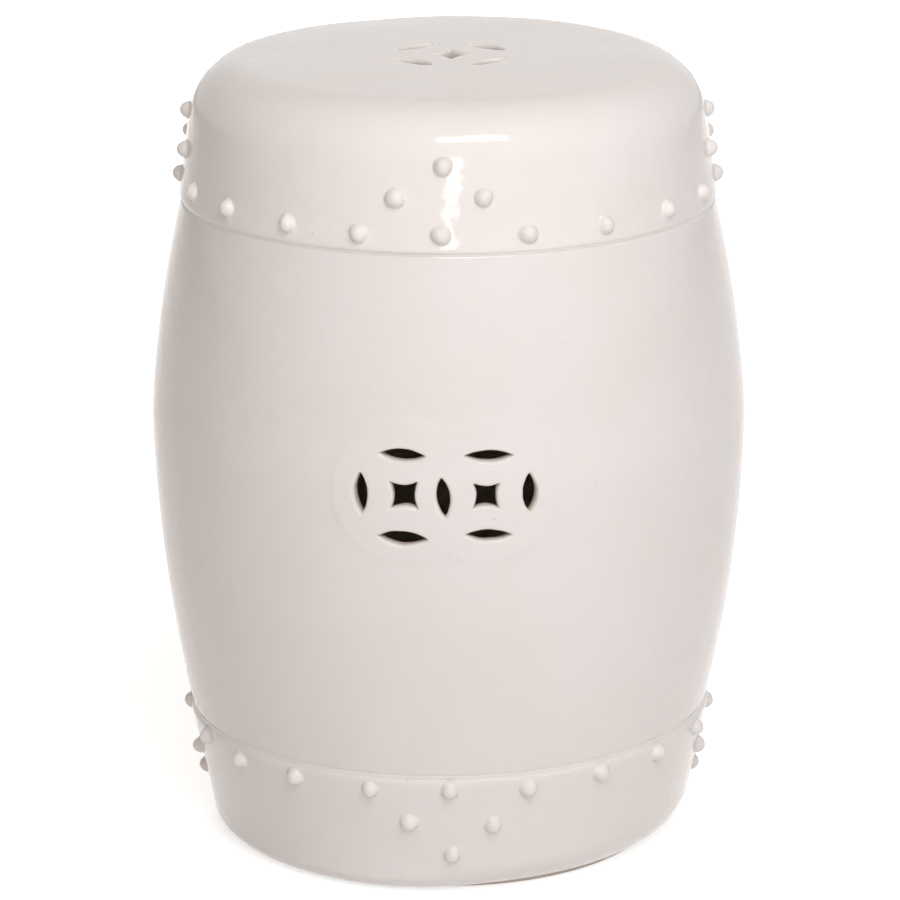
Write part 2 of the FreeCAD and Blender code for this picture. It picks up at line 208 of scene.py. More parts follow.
# Turning meshes out of outlines and cut patches.
class Lump:
    # gathers points in millimetres, their faces and what is painted on them
    def __init__(self):
        self.points, self.thin, self.pooled, self.faces, self.bare = [], [], [], [], []
        self.count = 0

    def add(self, points, faces, bare=False, thin=0.0, pooled=0.0):
        points = np.asarray(points, float).reshape(-1, 3)
        start = self.count
        self.points.append(points)
        self.thin.append(np.broadcast_to(np.asarray(thin, float).reshape(-1), (len(points),)))
        self.pooled.append(np.broadcast_to(np.asarray(pooled, float).reshape(-1), (len(points),)))
        self.count += len(points)
        self.link(np.asarray(faces) + start, bare)
        return start

    def link(self, faces, bare=False):
        faces = np.asarray(faces)
        self.faces.extend(tuple(int(i) for i in face) for face in faces)
        marks = np.broadcast_to(np.asarray(bare), (len(faces),))
        self.bare.extend(bool(mark) for mark in marks)

    def finish(self, name, nodes, slotName, skins, closed=True):
        mesh = bpy.data.meshes.new(name)
        mesh.from_pydata((np.vstack(self.points) * mm).tolist(), [], self.faces)
        # the thin glaze, and the pooled glaze with painted shade in the corners
        for label, values in (("thinGlaze", self.thin), ("pooledGlaze", self.pooled)):
            layer = mesh.attributes.new(label, "FLOAT", "POINT")
            layer.data.foreach_set("value", np.clip(np.concatenate(values), 0, 1).astype(np.float32))
        for skin in skins:
            mesh.materials.append(skin)
        if len(skins) > 1:
            mesh.polygons.foreach_set("material_index", np.array(self.bare, np.int32))
        mesh.polygons.foreach_set("use_smooth", np.ones(len(mesh.polygons), bool))
        shape = bmesh.new()
        shape.from_mesh(mesh)
        bmesh.ops.remove_doubles(shape, verts=shape.verts, dist=3e-6)
        if closed:
            bmesh.ops.recalc_face_normals(shape, faces=shape.faces)
        shape.to_mesh(mesh)
        shape.free()
        piece = bpy.data.objects.new(name, mesh)
        bpy.context.scene.collection.objects.link(piece)
        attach(piece, "root")
        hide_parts(*nodes)
        print("stool:", name, len(mesh.polygons), "faces")
        return piece


def gridFaces(rows, across, closeRows=False):
    # faces of a grid that closes round the axis, and with closeRows from its last row to its first
    r, c = np.meshgrid(np.arange(rows if closeRows else rows - 1), np.arange(across), indexing="ij")
    here, above = r * across, (r + 1) % rows * across
    nextColumn = (c + 1) % across
    return np.stack([here + c, here + nextColumn, above + nextColumn, above + c], -1).reshape(-1, 4)


def resample(outline, count, cornerPull):
    # spaces points along a closed outline, closer together where it bends
    steps = np.roll(outline, -1, 0) - outline
    lengths = np.hypot(*steps.T)
    headings = np.arctan2(steps[:, 1], steps[:, 0])
    bends = np.abs((np.roll(headings, -1) - headings + np.pi) % (2 * np.pi) - np.pi)
    along = np.concatenate([[0], np.cumsum(lengths + cornerPull * bends)])
    wanted = np.linspace(0, along[-1], count, endpoint=False)
    closed = np.vstack([outline, outline[:1]])
    return np.stack([np.interp(wanted, along, closed[:, k]) for k in (0, 1)], -1)


def soften(outline, reach):
    # rounds the corners of a closed, evenly spaced outline
    spacing = np.hypot(*(np.roll(outline, -1, 0) - outline).T).mean()
    waves = np.fft.fftfreq(len(outline), spacing)
    fade = np.exp(-2 * (np.pi * waves * reach) ** 2)
    return np.stack([np.fft.ifft(np.fft.fft(outline[:, k]) * fade).real for k in (0, 1)], -1)


def outwards(outline):
    tangent = np.roll(outline, -1, 0) - np.roll(outline, 1, 0)
    tangent /= np.linalg.norm(tangent, axis=1)[:, None]
    return np.stack([tangent[:, 1], -tangent[:, 0]], -1)


def arcBetween(a, b, bulge, count=120):
    # from a to b, standing out to the right of its travel by the bulge
    t = np.linspace(0, 1, count, endpoint=False)
    a, b = np.asarray(a, float), np.asarray(b, float)
    chord = b - a
    half = np.hypot(*chord) / 2
    side = np.array([chord[1], -chord[0]]) / (2 * half)
    radius = (half * half + bulge * bulge) / (2 * abs(bulge))
    reach = (2 * t - 1) * half
    rise = np.sqrt(radius * radius - reach * reach) - (radius - abs(bulge))
    return a + t[:, None] * chord + np.sign(bulge) * rise[:, None] * side


# Openings cut with a knife: the rounded lip, the throat behind it, how the hand slips and
# how far in the glaze reaches, in millimetres.
knife = {
    "lip": 1.5, "throat": 2.8, "slip": 0.10, "cornerSoftness": 0.36, "points": 84, "glazeReach": 5.0,
    "thinLip": 0.12,
}


def cutOutline(corners, bulges, seed):
    pieces = []
    for k, (a, bulge) in enumerate(zip(corners, bulges)):
        pieces.append(arcBetween(a, corners[(k + 1) % len(corners)], bulge))
    outline = resample(np.vstack(pieces), 600, 0)
    outline = soften(outline, knife["cornerSoftness"])
    turn = np.linspace(0, 2 * np.pi, len(outline), endpoint=False)
    slip = np.sin(3 * turn + seed * 1.7) + 0.6 * np.sin(5 * turn + seed * 2.9) + 0.4 * np.sin(8 * turn + seed)
    away = outline - outline.mean(0)
    outline = outline + away / np.linalg.norm(away, axis=1)[:, None] * (knife["slip"] * slip)[:, None]
    return resample(outline, knife["points"], 3.0)


def petalCut(tips, width, seed):
    # a pointed petal between two tips
    a, b = np.array(tips[0], float), np.array(tips[1], float)
    return cutOutline([a, b], [width / 2, width / 2], seed)


def squareCut(centre, side, hollow, turn, seed):
    # a square whose sides bend inwards by the hollow
    swing = np.radians(turn + np.array([-135, -45, 45, 135]))
    corners = [np.array(centre) + side / math.sqrt(2) * np.array([math.cos(s), math.sin(s)]) for s in swing]
    return cutOutline(corners, [-hollow] * 4, seed)


def bendPoints(across, up, radius, turn):
    return np.stack([across + radius * np.cos(turn), up + radius * np.sin(turn)], -1)


def looseRows(us, vs, gap):
    # rows of points, every second one moved by half a gap
    return np.array([(u + (gap / 2 if k % 2 else 0), v) for k, v in enumerate(vs) for u in us])


def insideOutline(points, outline):
    x, y = points[:, 0][:, None], points[:, 1][:, None]
    a, b = outline, np.roll(outline, -1, 0)
    crosses = (a[:, 1] > y) != (b[:, 1] > y)
    with np.errstate(divide="ignore", invalid="ignore"):
        meet = a[:, 0] + (y - a[:, 1]) * (b[:, 0] - a[:, 0]) / (b[:, 1] - a[:, 1])
    return (crosses & (x < meet)).sum(1) % 2 == 1


def nearestGap(points, others):
    gaps = np.full(len(points), 1e9)
    for k in range(0, len(points), 400):
        part = points[k:k + 400]
        gaps[k:k + 400] = np.sqrt(((part[:, None] - others[None]) ** 2).sum(-1)).min(1)
    return gaps


def cutPatch(lump, border, filling, lines, cuts, place, wall):
    # A flat patch with openings, laid on the pot by place(points, depth). The border is joined to
    # its surroundings, the filling is loose points, and the lines are kept as rows of points.
    lip, throat = knife["lip"], knife["throat"]
    normals = [outwards(outline) for outline in cuts]
    rims = [outline + normal * lip for outline, normal in zip(cuts, normals)]
    fixed = np.vstack([border] + rims)
    for rim in rims:
        filling = filling[~insideOutline(filling, rim)]
        lines = lines[~insideOutline(lines, rim)]
    lines = lines[nearestGap(lines, fixed) > 0.55]
    filling = filling[nearestGap(filling, np.vstack([fixed, lines])) > 0.75]
    flat = np.vstack([fixed, lines, filling])
    edges, start = [], 0
    for loop in [border] + rims:
        edges += [(start + k, start + (k + 1) % len(loop)) for k in range(len(loop))]
        start += len(loop)
    found = delaunay_2d_cdt([Vector(p) for p in flat], edges, [], 0, 1e-5)
    origin = [ids[0] for ids in found[3]]
    triangles = np.array([[origin[k] for k in face] for face in found[2]])
    middles = flat[triangles].mean(1)
    keep = insideOutline(middles, border)
    for rim in rims:
        keep &= ~insideOutline(middles, rim)
    triangles = triangles[keep]
    a, b, c = (flat[triangles[:, k]] for k in range(3))
    turned = (b[:, 0] - a[:, 0]) * (c[:, 1] - a[:, 1]) - (b[:, 1] - a[:, 1]) * (c[:, 0] - a[:, 0])
    triangles[turned < 0] = triangles[turned < 0][:, ::-1]
    rimGap = nearestGap(flat, np.vstack(rims))
    thinNear = knife["thinLip"] * 0.6 * (1 - smoothStep(0.0, 2.0, rimGap))
    lump.add(place(flat, 0.0), triangles, False, thinNear)
    lump.add(place(flat, wall), triangles[:, ::-1], True)
    for outline, normal in zip(cuts, normals):
        # over the rounded lip to the throat, then wider again towards the inside
        swings = np.radians(np.linspace(0, 90, 9))
        rings = [(lip * (1 - math.sin(s)), throat * (1 - math.cos(s))) for s in swings]
        for share in np.linspace(0, 1, 7)[1:]:
            rings.append((lip * share * share, throat + (wall - throat) * share))
        rows = np.stack([place(outline + normal * side, depth) for side, depth in rings])
        depths = np.array([depth for side, depth in rings])
        thin = knife["thinLip"] * np.exp(-((depths - 0.8) / 1.2) ** 2)
        faces = gridFaces(len(rings), len(outline))[:, ::-1]
        rowOf = np.repeat(np.arange(len(rings) - 1), len(outline))
        bare = depths[rowOf + 1] > knife["glazeReach"]
        lump.add(rows, faces, bare, np.repeat(thin, len(outline)))


# The barrel, pierced with two coins in front and at the back.
barrel = {
    "waistRadius": 165.0, "waistHeight": 242.0,
    "upperBulge": 2.7, "lowerBulge": 4.5,
    "topRadius": 145.9, "topHeight": 363.5,
    "footRadius": 145.4, "footHeight": 72.5,
    "wall": 10.0, "seamSoftness": 7.0, "waverFrom": (100, 335),
    "bandTilt": 1.6,  # the lower band was set a little askew: higher at the right
    "tiltGrows": (20, 66), "tiltEnds": (82, 130),
}
coins = {
    "radius": 39.3, "left": -24.2, "right": 20.1, "height": 239.2,
    "rise": 0.28, "riseWidth": 3.0, "ridge": 0.07,
    "window": (-25.0, 23.75, 190.0, 294.0),  # left and right angle, low and high edge
}


def bandAskew(angle, height):
    fade = smoothStep(*barrel["tiltGrows"], height) * (1 - smoothStep(*barrel["tiltEnds"], height))
    return barrel["bandTilt"] * np.sin(np.radians(angle)) * fade


def arcRadius(height, endRadius, endHeight, bulge):
    across, up = endRadius - barrel["waistRadius"], endHeight - barrel["waistHeight"]
    chord = math.hypot(across, up)
    radius = chord * chord / (8 * bulge) + bulge / 2
    side = 1 if up > 0 else -1
    depth = radius - bulge
    centreAcross = (barrel["waistRadius"] + endRadius) / 2 - up * side * depth / chord
    centreUp = (barrel["waistHeight"] + endHeight) / 2 + across * side * depth / chord
    return centreAcross + np.sqrt(radius * radius - (height - centreUp) ** 2)


def barrelRadius(height):
    height = np.asarray(height, float)
    total = 0
    for share, weight in ((-1, 1), (-0.5, 2), (0, 3), (0.5, 2), (1, 1)):
        z = height + share * barrel["seamSoftness"]
        z = np.where(np.abs(height - barrel["waistHeight"]) < 2 * barrel["seamSoftness"], z, height)
        upper = arcRadius(z, barrel["topRadius"], barrel["topHeight"], barrel["upperBulge"])
        lower = arcRadius(z, barrel["footRadius"], barrel["footHeight"], barrel["lowerBulge"])
        total = total + weight * np.where(z > barrel["waistHeight"], upper, lower)
    return total / 9


perDegree = barrel["waistRadius"] * math.pi / 180  # how far a degree reaches at the waist


def coinRise(angle, height):
    # the soft raised plaque that the knife cut round the two coins; the same at the back
    across = ((np.asarray(angle, float) + 90) % 180 - 90) * perDegree
    up = height - coins["height"]
    nearer = np.minimum(np.hypot(across - coins["left"], up), np.hypot(across - coins["right"], up))
    gap = nearer - coins["radius"]
    plain = coins["rise"] * (1 - smoothStep(-coins["riseWidth"], coins["riseWidth"], gap))
    return plain + coins["ridge"] * np.exp(-((gap + 1.6) / 1.5) ** 2)


def onBarrel(angle, height, depth):
    # the wall is true where the bands sit on it, and the raised plaque fades out towards the inside
    low, lowWavers, highWavers, high = barrel["footHeight"], *barrel["waverFrom"], barrel["topHeight"]
    free = smoothStep(low, lowWavers, height) * (1 - smoothStep(highWavers, high, height))
    radius = barrelRadius(height) + handWaver(angle, height) * free
    radius = radius + coinRise(angle, height) * (1 - depth / barrel["wall"])
    return aroundAxis(angle, radius - depth, height + bandAskew(angle, height))


def coinCuts():
    # where the knife went, in millimetres across and up, as the front shows it
    petals = [
        (((-36.6, 259.9), (-12.7, 259.0)), 6.1), (((8.6, 259.3), (34.0, 258.7)), 5.6),
        (((-37.5, 214.8), (-11.6, 213.8)), 7.2), (((9.0, 216.5), (33.1, 215.5)), 5.7),
        (((-46.5, 227.0), (-47.1, 248.8)), 6.9), (((-1.8, 226.3), (-3.9, 247.7)), 6.9),
        (((43.3, 227.6), (42.8, 248.3)), 7.4),
    ]
    cuts = [petalCut(tips, width, k) for k, (tips, width) in enumerate(petals)]
    cuts.append(squareCut((-23.6, 237.9), 14.3, 1.7, 1.5, 11))
    cuts.append(squareCut((19.7, 237.6), 13.2, 1.5, -1.0, 12))
    return cuts


def makeBarrel():
    lump = Lump()
    leftEdge, rightEdge, low, high = coins["window"]
    foot, top = barrel["footHeight"], barrel["topHeight"]
    heights = np.concatenate([
        np.linspace(foot, low, 31),
        np.linspace(low, high, 53)[1:],
        np.linspace(high, top, 19)[1:],
    ])
    angle, height = np.meshgrid(columnAngles, heights)
    step = 360 / columns
    inAngle = np.zeros(columns, bool)
    for turn in (0, 180):
        inAngle |= ((columnAngles + step / 2 - turn - leftEdge) % 360) < (rightEdge - leftEdge)
    inHeight = (heights[:-1] >= low - 0.01) & (heights[1:] <= high + 0.01)
    kept = ~(inHeight[:, None] & inAngle[None, :]).reshape(-1)
    faces = gridFaces(len(heights), columns)[kept]
    # painted shade with some pooled glaze: darker in the corners just above the lower band and just under the
    # upper band
    pooled = 0.10 * np.exp(-((height - foot) / 4.0) ** 2) + 0.20 * np.exp(-((top - height) / 1.6) ** 2)
    lump.add(onBarrel(angle, height, 0.0), faces, False, 0.0, pooled.reshape(-1))
    lump.add(onBarrel(angle, height, barrel["wall"]), faces[:, ::-1], True)
    inner = len(heights) * columns
    for row, flip in ((0, False), (len(heights) - 1, True)):  # the two rims that meet the bands
        a = row * columns + np.arange(columns)
        b = row * columns + (np.arange(columns) + 1) % columns
        rim = np.stack([a + inner, b + inner, b, a], -1)
        lump.link(rim[:, ::-1] if flip else rim, True)
    borderAngles = np.arange(leftEdge, rightEdge + step / 2, step)
    rows = heights[(heights >= low - 0.01) & (heights <= high + 0.01)]
    border = [(a * perDegree, low) for a in borderAngles[:-1]]
    border += [(rightEdge * perDegree, z) for z in rows[:-1]]
    border += [(a * perDegree, high) for a in borderAngles[:0:-1]]
    border += [(leftEdge * perDegree, z) for z in rows[:0:-1]]
    border = np.array(border)
    gap = 1.5  # between the loose points
    us = np.arange(leftEdge * perDegree + gap, rightEdge * perDegree - 1, gap)
    vs = np.arange(low + gap, high - 1, gap)
    filling = looseRows(us, vs, gap)
    lines = []
    for own, other in (("left", "right"), ("right", "left")):
        for out in (-3.2, -2.3, -1.5, -0.8, 0, 0.8, 1.6, 2.4):
            radius = coins["radius"] + out
            turn = np.linspace(0, 2 * np.pi, 190, endpoint=False)
            ring = np.stack([coins[own] + radius * np.cos(turn), coins["height"] + radius * np.sin(turn)], -1)
            apart = np.hypot(ring[:, 0] - coins[other], ring[:, 1] - coins["height"])
            lines.append(ring[apart > radius + 0.5])
    lines = np.vstack(lines)
    filling = filling[nearestGap(filling, lines) > 0.7]
    for turn in (0, 180):
        def place(points, depth, turn=turn):
            return onBarrel(points[:, 0] / perDegree + turn, points[:, 1], depth)
        cutPatch(lump, border, filling, lines, coinCuts(), place, barrel["wall"])
    return lump.finish(
        "piercedBarrel",
        ("upper_barrel", "lower_barrel", "front_coin_plaque", "back_coin_plaque"),
        "glaze", (glaze, clay),
    )


# The seat: domed top, round shoulder and the upper band in one.
seat = {
    "top": 441.0, "crownRadius": 2000.0, "thickness": 14.0, "crownSettled": 1.3,
    "shoulderRadius": 32.0, "edgeRadius": 147.5, "edgeHeight": 363.5, "lean": 9.0, "wall": 10.0,
    "skirtSwell": 0.60, "swellLength": 74, "edgeRound": (0.65, 2.0), "edgeInset": (0.30, 0.25),
    "bridge": 1.5,  # how far the glaze in the corner under the band reaches down the barrel
    "settledWithin": (15, 105),  # all of the settling inside the first radius, none outside the second
    "waverEnds": (438.0, 439.6),  # heights over which the wander of the wall dies out
    "discRadius": 54.0,  # the crown's middle, which holds the openings
}
seatCoin = {
    "centre": (1.7, -4.5), "ring": 28.0, "petalLength": 26.0, "petalWidth": 8.8, "side": 17.0, "hollow": 1.9,
}


def crownSettling(radius):
    return seat["crownSettled"] * (1 - smoothStep(*seat["settledWithin"], radius))


def crownHeight(radius):
    return seat["top"] - radius * radius / (2 * seat["crownRadius"]) - crownSettling(radius)


def skirtLine():
    # lean and slope of the skirt, and the radius at which its shoulder's centre line meets the floor
    lean = math.radians(seat["lean"])
    slope = math.tan(lean)
    line = seat["edgeRadius"] + seat["edgeHeight"] * slope - seat["shoulderRadius"] / math.cos(lean)
    return lean, slope, line


lastFootRow = 13  # the last point of the seat's outer line below its straight skirt
bandRows = 52  # the points from there that cover the band and its nail heads


def seatProfile():
    # the outer line from the band's lower edge to the crown, and its directions outwards
    lean, slope, line = skirtLine()
    down = seat["top"] - seat["crownRadius"]
    reach = seat["crownRadius"] - seat["shoulderRadius"]
    a, b, c = slope * slope + 1, -line * slope - down, line * line + down * down - reach * reach
    up = (math.sqrt(b * b - a * c) - b) / a
    across = line - up * slope
    last = math.atan2(up - down, across)
    wide, tall = seat["edgeRound"]
    outside = seat["edgeRadius"] - seat["edgeInset"][0]
    low = seat["edgeHeight"] - seat["edgeInset"][1]
    turn = np.radians(np.linspace(-90, -4, 9))
    foot = np.stack([outside - wide * (1 - np.cos(turn)), low + tall * (1 + np.sin(turn))], -1)
    # glaze bridges the corner between the barrel and the band
    wall = float(barrelRadius(low - seat["bridge"]))
    run = foot[0, 0] - wall
    turn = np.radians(np.linspace(0, 90, 6))[:-1]
    fillet = np.stack([wall + run * (1 - np.cos(turn)), low - seat["bridge"] * (1 - np.sin(turn))], -1)
    foot = np.vstack([fillet, foot])
    z = np.linspace(low + tall + 0.8, up + seat["shoulderRadius"] * math.sin(lean), 22)
    skirt = np.stack([seat["edgeRadius"] - (z - seat["edgeHeight"]) * slope, z], -1)
    turn = np.linspace(lean, last, 40)[1:]
    shoulder = bendPoints(across, up, seat["shoulderRadius"], turn)
    r = np.linspace(shoulder[-1, 0], seat["discRadius"], 24)[1:]
    crown = np.stack([r, crownHeight(r)], -1)
    shoulder[:, 1] -= crownSettling(shoulder[:, 0])
    path = np.vstack([foot, skirt, shoulder, crown])
    steps = np.gradient(path, axis=0)
    normal = np.stack([steps[:, 1], -steps[:, 0]], -1)
    normal /= np.linalg.norm(normal, axis=1)[:, None]
    along = np.concatenate([[0], np.cumsum(np.hypot(*np.diff(path, axis=0).T))])
    share = np.clip((along - along[lastFootRow]) / seat["swellLength"], 0, 1)
    swell = seat["skirtSwell"] * np.sin(np.pi * share) ** 2
    return path + normal * swell[:, None], normal


seatPath, seatNormal = seatProfile()


def bandWaver(angle, height):
    # the band was pressed on by hand, so it wanders a little more than the barrel
    a = np.radians(angle)
    pressed = 0.16 * np.sin(5 * a + 1.1 + height / 18) + 0.10 * np.sin(11 * a - height / 13)
    return handWaver(angle, height) + pressed


def onSeatBand(angle, height):
    band = seatPath[lastFootRow:lastFootRow + bandRows]
    radius = np.interp(height, band[:, 1], band[:, 0])
    return aroundAxis(angle, radius + bandWaver(angle, height), height)


def onCrown(points, depth):
    radius = np.hypot(points[:, 0], points[:, 1])
    top = crownHeight(radius)
    ceiling = seat["top"] - seat["thickness"]
    share = depth / seat["thickness"]
    return np.column_stack([points, top + (ceiling - top) * share])


def makeSeat():
    lump = Lump()
    angle = columnAngles[None, :]
    up = seatPath[:, 1:2]
    fromEdge = smoothStep(3, lastFootRow + 3, np.arange(len(seatPath)))[:, None]
    waver = bandWaver(angle, up) * (1 - smoothStep(*seat["waverEnds"], up)) * fromEdge
    outer = seatPath[:, None, :] + seatNormal[:, None, :] * waver[:, :, None]
    outer[-1, :, 1] = crownHeight(np.full(columns, seat["discRadius"]))
    outerPoints = aroundAxis(angle, outer[:, :, 0], outer[:, :, 1])
    lean, slope, line = skirtLine()
    ceiling = seat["top"] - seat["thickness"]
    corner = seat["shoulderRadius"] - seat["wall"]
    cornerUp = ceiling - corner
    cornerAcross = line - cornerUp * slope
    turn = np.linspace(math.pi / 2, lean, 12)
    r = np.linspace(seat["discRadius"], cornerAcross, 14)[:-1]
    z = np.linspace(cornerUp + corner * math.sin(lean), seat["edgeHeight"], 14)[1:]
    innerFoot = seat["edgeRadius"] - seat["wall"] / math.cos(lean)
    inner = np.vstack([
        np.stack([r, np.full(len(r), ceiling)], -1),
        bendPoints(cornerAcross, cornerUp, corner, turn),
        np.stack([innerFoot - (z - seat["edgeHeight"]) * slope, z], -1),
    ])
    innerPoints = aroundAxis(angle, inner[:, :1], inner[:, 1:])
    # inside first, then over the lower edge and up the outside, so the faces look outwards
    rows = np.vstack([innerPoints.reshape(-1, 3), outerPoints.reshape(-1, 3)])
    count = len(inner) + len(outer)
    faces = gridFaces(count, columns)
    rowOf = np.repeat(np.arange(count - 1), columns)
    height = rows[:, 2]
    outside = np.repeat(np.arange(count) >= len(inner), columns)
    # painted shade with some pooled glaze: darker in the corner under the band's lower edge
    pooled = np.where(outside, 0.25 * np.exp(-((height - seat["edgeHeight"] + 0.6) / 0.7) ** 2), 0)
    lump.add(rows, faces, rowOf < len(inner) - 1, 0.0, pooled)
    disc, gap = seat["discRadius"], 1.6
    swing = np.radians(columnAngles)
    border = disc * np.stack([np.sin(swing), -np.cos(swing)], -1)
    steps = np.arange(-disc, disc + 0.1, gap)
    filling = looseRows(steps, steps, gap)
    filling = filling[np.hypot(*filling.T) < disc - 1]
    cuts = []
    cx, cy = seatCoin["centre"]
    for k, around in enumerate((45, 135, 225, 315)):
        out = np.array([math.cos(math.radians(around)), math.sin(math.radians(around))])
        lie = np.array([-out[1], out[0]])
        centre = np.array([cx, cy]) + out * seatCoin["ring"]
        tips = (centre - lie * seatCoin["petalLength"] / 2, centre + lie * seatCoin["petalLength"] / 2)
        cuts.append(petalCut(tips, seatCoin["petalWidth"], 20 + k))
    cuts.append(squareCut((cx, cy), seatCoin["side"], seatCoin["hollow"], 46, 25))
    nothing = np.empty((0, 2))
    cutPatch(lump, border, filling, nothing, cuts, onCrown, seat["thickness"])
    return lump.finish("domedSeat", ("seat_cap",), "glaze", (glaze, clay))


# The lower band, turned in to the ring that stands on the floor.
collar = {
    "edgeRadius": 147.0, "edgeHeight": 72.5, "lean": 11.4, "wall": 10.0, "reveal": 1.5,
    "cornerLeft": 9.5, "cornerRight": 25.5,  # the outer corner was wiped rounder at the right
    "edgeRound": (0.70, 2.4), "ringOuter": 118.77, "ringInner": 99.77, "ringTop": 11.5,
    "bridge": 2.4,  # how far the glaze in the corner over the band reaches up the barrel
    "innerCorner": 7.0, "innerCornerHeight": 17.0,
    "waverFrom": (4, 24), "waverEnds": (67, 72.3),
}


def collarWall(height, topRadius):
    # the radius of the leaning wall at a height, from its radius at the upper edge
    return topRadius - (collar["edgeHeight"] - height) * math.tan(math.radians(collar["lean"]))


def collarWaver(angle, height):
    fade = smoothStep(*collar["waverFrom"], height)
    return handWaver(angle, height) * fade * (1 - smoothStep(*collar["waverEnds"], height))


def collarOutline(angle):
    slope = math.tan(math.radians(collar["lean"]))
    secant = 1 / math.cos(math.radians(collar["lean"]))
    middle = (collar["cornerRight"] + collar["cornerLeft"]) / 2
    swing = (collar["cornerRight"] - collar["cornerLeft"]) / 2
    corner = middle + swing * math.tanh(math.sin(math.radians(angle)) / 0.3)
    up = collar["reveal"] + corner
    across = collar["edgeRadius"] - (collar["edgeHeight"] - up) * slope - corner * secant
    ring = collar["ringOuter"]
    first = -math.pi / 2 if across > ring else math.asin(-math.sqrt(1 - ((ring - across) / corner) ** 2))
    turn = np.linspace(first, -math.radians(collar["lean"]), 26)
    bend = bendPoints(across, up, corner, turn)
    if across > ring + 0.1:  # a flat underside from the ring to the corner
        under = np.linspace((ring, bend[0, 1]), bend[0], 4)[:-1]
    else:  # the corner ends at the ring
        under = bend[0] - [[0.03, 0], [0.02, 0], [0.01, 0]]
    wide, tall = collar["edgeRound"]
    z = np.linspace(bend[-1, 1], collar["edgeHeight"] - tall, 16)[1:]
    wallLine = np.stack([collarWall(z, collar["edgeRadius"]), z], -1)
    turn = np.radians(np.linspace(0, 90, 10))[1:]
    wallTop = wallLine[-1]
    edge = np.stack([wallTop[0] - wide * (1 - np.cos(turn)), wallTop[1] + tall * np.sin(turn)], -1)
    # glaze bridges the corner between the band's edge and the barrel
    wall = float(barrelRadius(collar["edgeHeight"] + collar["bridge"])) + 0.02
    run = edge[-1, 0] - wall
    turn = np.radians(np.linspace(0, 90, 8))[1:]
    fillet = np.stack([
        wall + run * (1 - np.sin(turn)), collar["edgeHeight"] + collar["bridge"] * (1 - np.cos(turn)),
    ], -1)
    edge = np.vstack([edge, fillet])
    inCorner, inUp = collar["innerCorner"], collar["reveal"] + collar["innerCornerHeight"]
    z = np.linspace(collar["edgeHeight"], inUp, 12)
    inside = np.stack([collarWall(z, collar["edgeRadius"] - collar["wall"] * secant), z], -1)
    turn = np.radians(np.linspace(-collar["lean"], -90, 8))[1:]
    insideBend = bendPoints(inside[-1, 0] - inCorner, inUp, inCorner, turn)
    glazed = np.vstack([under, bend, wallLine, edge])
    return np.vstack([glazed, inside, insideBend, [(ring, collar["ringTop"])]]), len(glazed)


collarLines = [collarOutline(a) for a in columnAngles]


def onCollar(angle, height):
    radius = collarWall(height, collar["edgeRadius"]) + collarWaver(angle, height)
    return aroundAxis(angle, radius, height + bandAskew(angle, height))


def makeCollar():
    lump = Lump()
    lines = np.stack([line for line, outside in collarLines], 1)
    outside = collarLines[0][1]
    radius, height = lines[:, :, 0].copy(), lines[:, :, 1]
    angle = columnAngles[None, :]
    radius[:outside] += collarWaver(angle, height[:outside])
    points = aroundAxis(angle, radius, height + bandAskew(angle, height))
    rows = len(lines)
    faces = gridFaces(rows, columns, True)
    rowOf = np.repeat(np.arange(rows), columns)
    isOut = np.arange(rows)[:, None] < outside
    thin = np.where(isOut, 0.5 * np.exp(-((height - 3) / 2.0) ** 2), 0)
    lump.add(points, faces, rowOf >= outside - 1, thin.reshape(-1))
    return lump.finish("footBand", ("foot_collar",), "glaze", (glaze, clay))


def makeRing():
    lump = Lump()
    inner, outer, top, soft = collar["ringInner"], collar["ringOuter"], collar["ringTop"], 1.0
    turn = np.radians(np.linspace(0, 90, 5))
    foot = np.stack([outer - soft + soft * np.sin(turn), soft - soft * np.cos(turn)], -1)
    back = np.stack([inner + soft - soft * np.sin(turn[::-1]), soft - soft * np.cos(turn[::-1])], -1)
    sides = [(outer, 4.0), (outer, top), (inner, top), (inner, 5.0)]
    line = np.vstack([foot, sides, back, [((inner + outer) / 2, 0)]])
    angle = columnAngles[None, :]
    # the foot's edge is a little worn, in places
    wear = 0.12 * np.sin(np.radians(13 * angle)) * np.sin(np.radians(5 * angle + 40))
    radius = line[:, :1] + wear * (line[:, 1:] > 0.5) * (line[:, 1:] < 6)
    lump.add(aroundAxis(angle, radius, line[:, 1:]), gridFaces(len(line), columns, True))
    return lump.finish("footRing", ("foot_ring",), "bisque", (clay,))


# Nail heads: soft cones of clay with glaze flowing round their feet, and painted shade in the crease there.
nail = {
    # from the foot, which lies in the wall, to the tip: radius and height
    "outline": [(6.1, -0.30), (5.7, -0.05), (5.35, 0.12), (5.0, 0.42), (4.72, 0.95), (4.42, 1.70),
                (3.98, 2.60), (3.34, 3.45), (2.55, 4.15), (1.70, 4.65), (0.86, 4.95), (0.0, 5.05)],
    "columns": 28, "sizeSlip": 0.05, "tipSlip": (0.35, 0.3), "perRow": 20,
    "unevenness": (0.04, 0.03),  # how far its foot is from round, in twos and in threes
    # painted shade with some pooled glaze round each head's foot
    "pooled": 0.30,
}
# Angle and height of each head that the front shows; the rest of a row has its spacing and height.
upperNails = {
    "row": {-72: (-68.9, 374.6), -54: (-52.9, 373.9), -36: (-35.0, 373.3), -18: (-18.5, 372.5),
            0: (-1.5, 373.3), 18: (16.5, 372.5), 36: (34.3, 372.3), 54: (52.5, 372.9), 72: (69.2, 373.2)},
    "rowHeight": 372.9, "pair": [(-11.0, 391.6), (7.4, 392.3)], "apex": (-1.1, 408.2),
    "pairHeight": 391.0, "apexHeight": 408.0,
}
lowerNails = {
    "row": {-72: (-67.4, 64.6), -54: (-51.9, 63.4), -36: (-35.1, 64.7), -18: (-17.1, 65.1),
            0: (0.0, 66.7), 18: (17.0, 65.3), 36: (34.2, 67.1), 54: (51.2, 67.6), 72: (70.0, 67.1)},
    "rowHeight": 66.0, "pair": [(-8.9, 46.0), (9.5, 44.3)], "apex": (0.6, 26.6),
    "pairHeight": 46.4, "apexHeight": 27.2,
}


